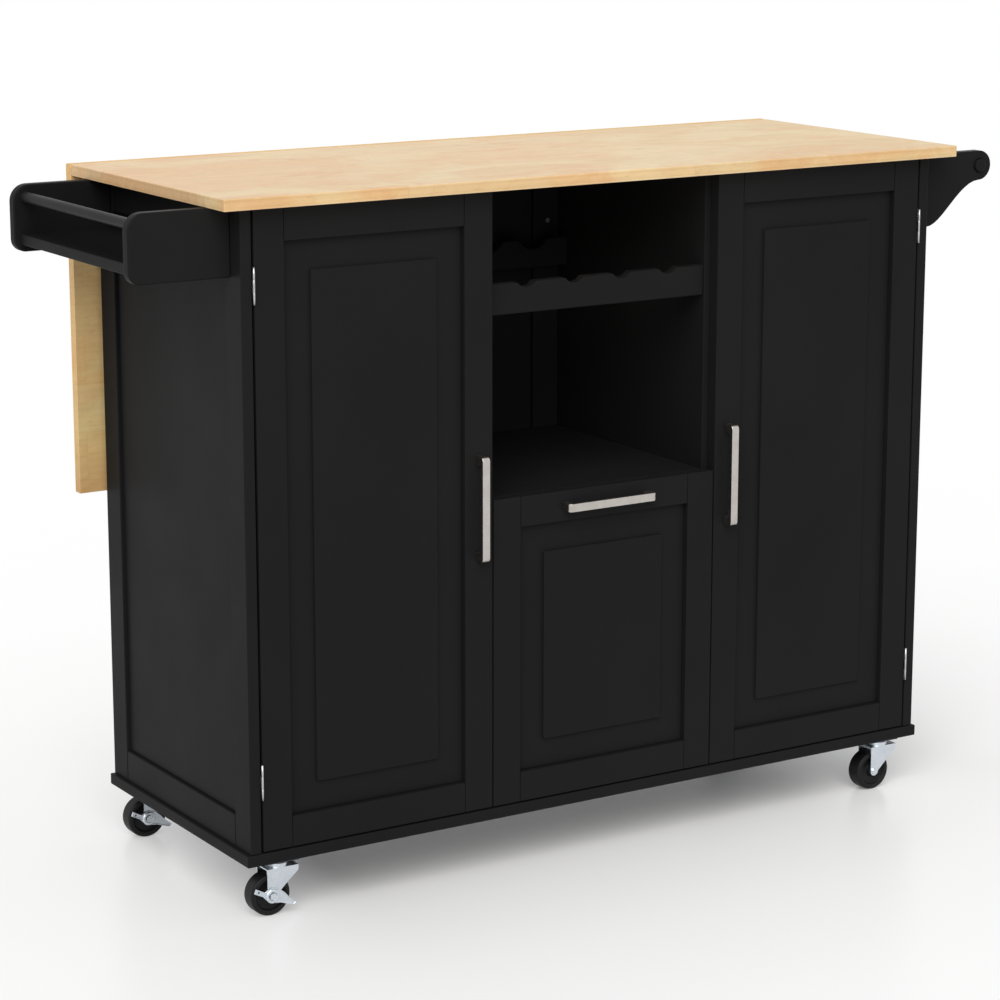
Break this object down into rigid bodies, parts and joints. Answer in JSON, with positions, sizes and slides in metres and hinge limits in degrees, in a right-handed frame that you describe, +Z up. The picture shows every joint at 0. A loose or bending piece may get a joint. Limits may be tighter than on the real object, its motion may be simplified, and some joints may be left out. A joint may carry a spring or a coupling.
{
  "type": "drop leaf kitchen island",
  "caption": "Rolling kitchen island with a drop leaf, hinged doors, a pull-out bin front, an open bay with a bottle rack, a spice rack, a towel rod and braked casters.",
  "frame": {"origin": "centre of the closed island's footprint, on the floor", "axes": "+X to the right along the front, from the spice rack to the towel rack; +Y from the front to the drop leaf at the back; +Z up"},
  "size_m": [1.3256, 0.4514, 0.915],
  "materials": {
    "black_paint": "satin black paint on wood",
    "oak_top": "clear satin on light finger-jointed wood",
    "satin_nickel": "satin nickel",
    "hinge_steel": "plain plated steel",
    "caster_zinc": "bright bluish zinc plate",
    "caster_wheel": "dark matt tread"
  },
  "bodies": {
    "root": {"base_board": "black_paint", "left_side_panel": "black_paint", "right_side_panel": "black_paint", "left_partition": "black_paint", "right_partition": "black_paint", "back_panel": "black_paint", "open_bay_shelf": "black_paint", "left_inner_shelf": "black_paint", "right_inner_shelf": "black_paint", "bottle_rail_front": "black_paint", "bottle_rail_rear": "black_paint", "spice_rack_front_cheek": "black_paint", "spice_rack_rear_cheek": "black_paint", "spice_rack_floor": "black_paint", "spice_rack_rod": "black_paint", "towel_rack_front_bracket": "black_paint", "towel_rack_rear_bracket": "black_paint", "towel_rack_rod": "black_paint", "worktop": "oak_top", "left_door_lower_hinge_side_plate": "hinge_steel", "left_door_upper_hinge_side_plate": "hinge_steel", "right_door_lower_hinge_side_plate": "hinge_steel", "right_door_upper_hinge_side_plate": "hinge_steel", "bin_slide_channel": "hinge_steel", "leaf_hinge_left": "hinge_steel", "leaf_hinge_right": "hinge_steel", "leaf_support_bracket_left": "hinge_steel", "leaf_support_bracket_right": "hinge_steel", "caster_front_left_plate": "caster_zinc", "caster_rear_left_plate": "caster_zinc", "caster_front_right_plate": "caster_zinc", "caster_rear_right_plate": "caster_zinc"},
    "left_door": {"left_door_frame": "black_paint", "left_door_raised_panel": "black_paint", "left_door_handle": "satin_nickel", "left_door_lower_hinge_door_plate": "hinge_steel", "left_door_upper_hinge_door_plate": "hinge_steel"},
    "right_door": {"right_door_frame": "black_paint", "right_door_raised_panel": "black_paint", "right_door_handle": "satin_nickel", "right_door_lower_hinge_door_plate": "hinge_steel", "right_door_upper_hinge_door_plate": "hinge_steel"},
    "bin": {"bin_front_frame": "black_paint", "bin_front_raised_panel": "black_paint", "bin_front_handle": "satin_nickel", "bin_tray": "black_paint", "bin_slide_runner": "hinge_steel"},
    "leaf": {"drop_leaf": "oak_top"},
    "support_left": {"leaf_support_left": "black_paint"},
    "support_right": {"leaf_support_right": "black_paint"},
    "caster_front_left_swivel": {"caster_front_left_fork": "caster_zinc"},
    "caster_front_left_roller": {"caster_front_left_wheel": "caster_wheel"},
    "caster_front_left_brake": {"caster_front_left_brake_lever": "caster_zinc"},
    "caster_rear_left_swivel": {"caster_rear_left_fork": "caster_zinc"},
    "caster_rear_left_roller": {"caster_rear_left_wheel": "caster_wheel"},
    "caster_rear_left_brake": {"caster_rear_left_brake_lever": "caster_zinc"},
    "caster_front_right_swivel": {"caster_front_right_fork": "caster_zinc"},
    "caster_front_right_roller": {"caster_front_right_wheel": "caster_wheel"},
    "caster_rear_right_swivel": {"caster_rear_right_fork": "caster_zinc"},
    "caster_rear_right_roller": {"caster_rear_right_wheel": "caster_wheel"}
  },
  "joints": [
    {"name": "left_door_hinge", "type": "hinge", "parent": "root", "child": "left_door", "pos_m": [-0.51075, -0.20715, 0.4935], "axis": [0, 0, -1], "range_deg": [0, 110]},
    {"name": "right_door_hinge", "type": "hinge", "parent": "root", "child": "right_door", "pos_m": [0.51625, -0.20715, 0.4935], "axis": [0, 0, 1], "range_deg": [0, 110]},
    {"name": "bin_pull", "type": "slide", "parent": "root", "child": "bin", "axis": [0, -1, 0], "range_m": [0, 0.29]},
    {"name": "leaf_hinge", "type": "hinge", "parent": "root", "child": "leaf", "pos_m": [0.00275, 0.21825, 0.9075], "axis": [1, 0, 0], "range_deg": [0, 90]},
    {"name": "support_left_pivot", "type": "hinge", "parent": "root", "child": "support_left", "pos_m": [-0.49225, 0.1975, 0.7615], "axis": [1, 0, 0], "range_deg": [0, 120]},
    {"name": "support_right_pivot", "type": "hinge", "parent": "root", "child": "support_right", "pos_m": [0.49775, 0.1975, 0.7615], "axis": [1, 0, 0], "range_deg": [0, 120]},
    {"name": "caster_front_left_swivel_turn", "type": "hinge", "parent": "root", "child": "caster_front_left_swivel", "pos_m": [-0.48125, -0.18375, 0.066], "axis": [0, 0, 1], "continuous": true},
    {"name": "caster_front_left_roll", "type": "hinge", "parent": "caster_front_left_swivel", "child": "caster_front_left_roller", "pos_m": [-0.49525, -0.18375, 0.0275], "axis": [0, 1, 0], "continuous": true},
    {"name": "caster_front_left_brake_rock", "type": "hinge", "parent": "caster_front_left_swivel", "child": "caster_front_left_brake", "pos_m": [-0.49525, -0.18375, 0.0275], "axis": [0, -1, 0], "range_deg": [0, 30]},
    {"name": "caster_rear_left_swivel_turn", "type": "hinge", "parent": "root", "child": "caster_rear_left_swivel", "pos_m": [-0.48125, 0.17425, 0.066], "axis": [0, 0, 1], "continuous": true},
    {"name": "caster_rear_left_roll", "type": "hinge", "parent": "caster_rear_left_swivel", "child": "caster_rear_left_roller", "pos_m": [-0.49525, 0.17425, 0.0275], "axis": [0, 1, 0], "continuous": true},
    {"name": "caster_rear_left_brake_rock", "type": "hinge", "parent": "caster_rear_left_swivel", "child": "caster_rear_left_brake", "pos_m": [-0.49525, 0.17425, 0.0275], "axis": [0, -1, 0], "range_deg": [0, 30]},
    {"name": "caster_front_right_swivel_turn", "type": "hinge", "parent": "root", "child": "caster_front_right_swivel", "pos_m": [0.48675, -0.18375, 0.066], "axis": [0, 0, 1], "continuous": true},
    {"name": "caster_front_right_roll", "type": "hinge", "parent": "caster_front_right_swivel", "child": "caster_front_right_roller", "pos_m": [0.47275, -0.18375, 0.0275], "axis": [0, 1, 0], "continuous": true},
    {"name": "caster_rear_right_swivel_turn", "type": "hinge", "parent": "root", "child": "caster_rear_right_swivel", "pos_m": [0.48675, 0.17425, 0.066], "axis": [0, 0, 1], "continuous": true},
    {"name": "caster_rear_right_roll", "type": "hinge", "parent": "caster_rear_right_swivel", "child": "caster_rear_right_roller", "pos_m": [0.47275, 0.17425, 0.0275], "axis": [0, 1, 0], "continuous": true}
  ],
  "couplings": [
    {"joint": "support_left_pivot", "follows": "leaf_hinge", "ratio": 1.3333},
    {"joint": "support_right_pivot", "follows": "leaf_hinge", "ratio": 1.3333}
  ]
}
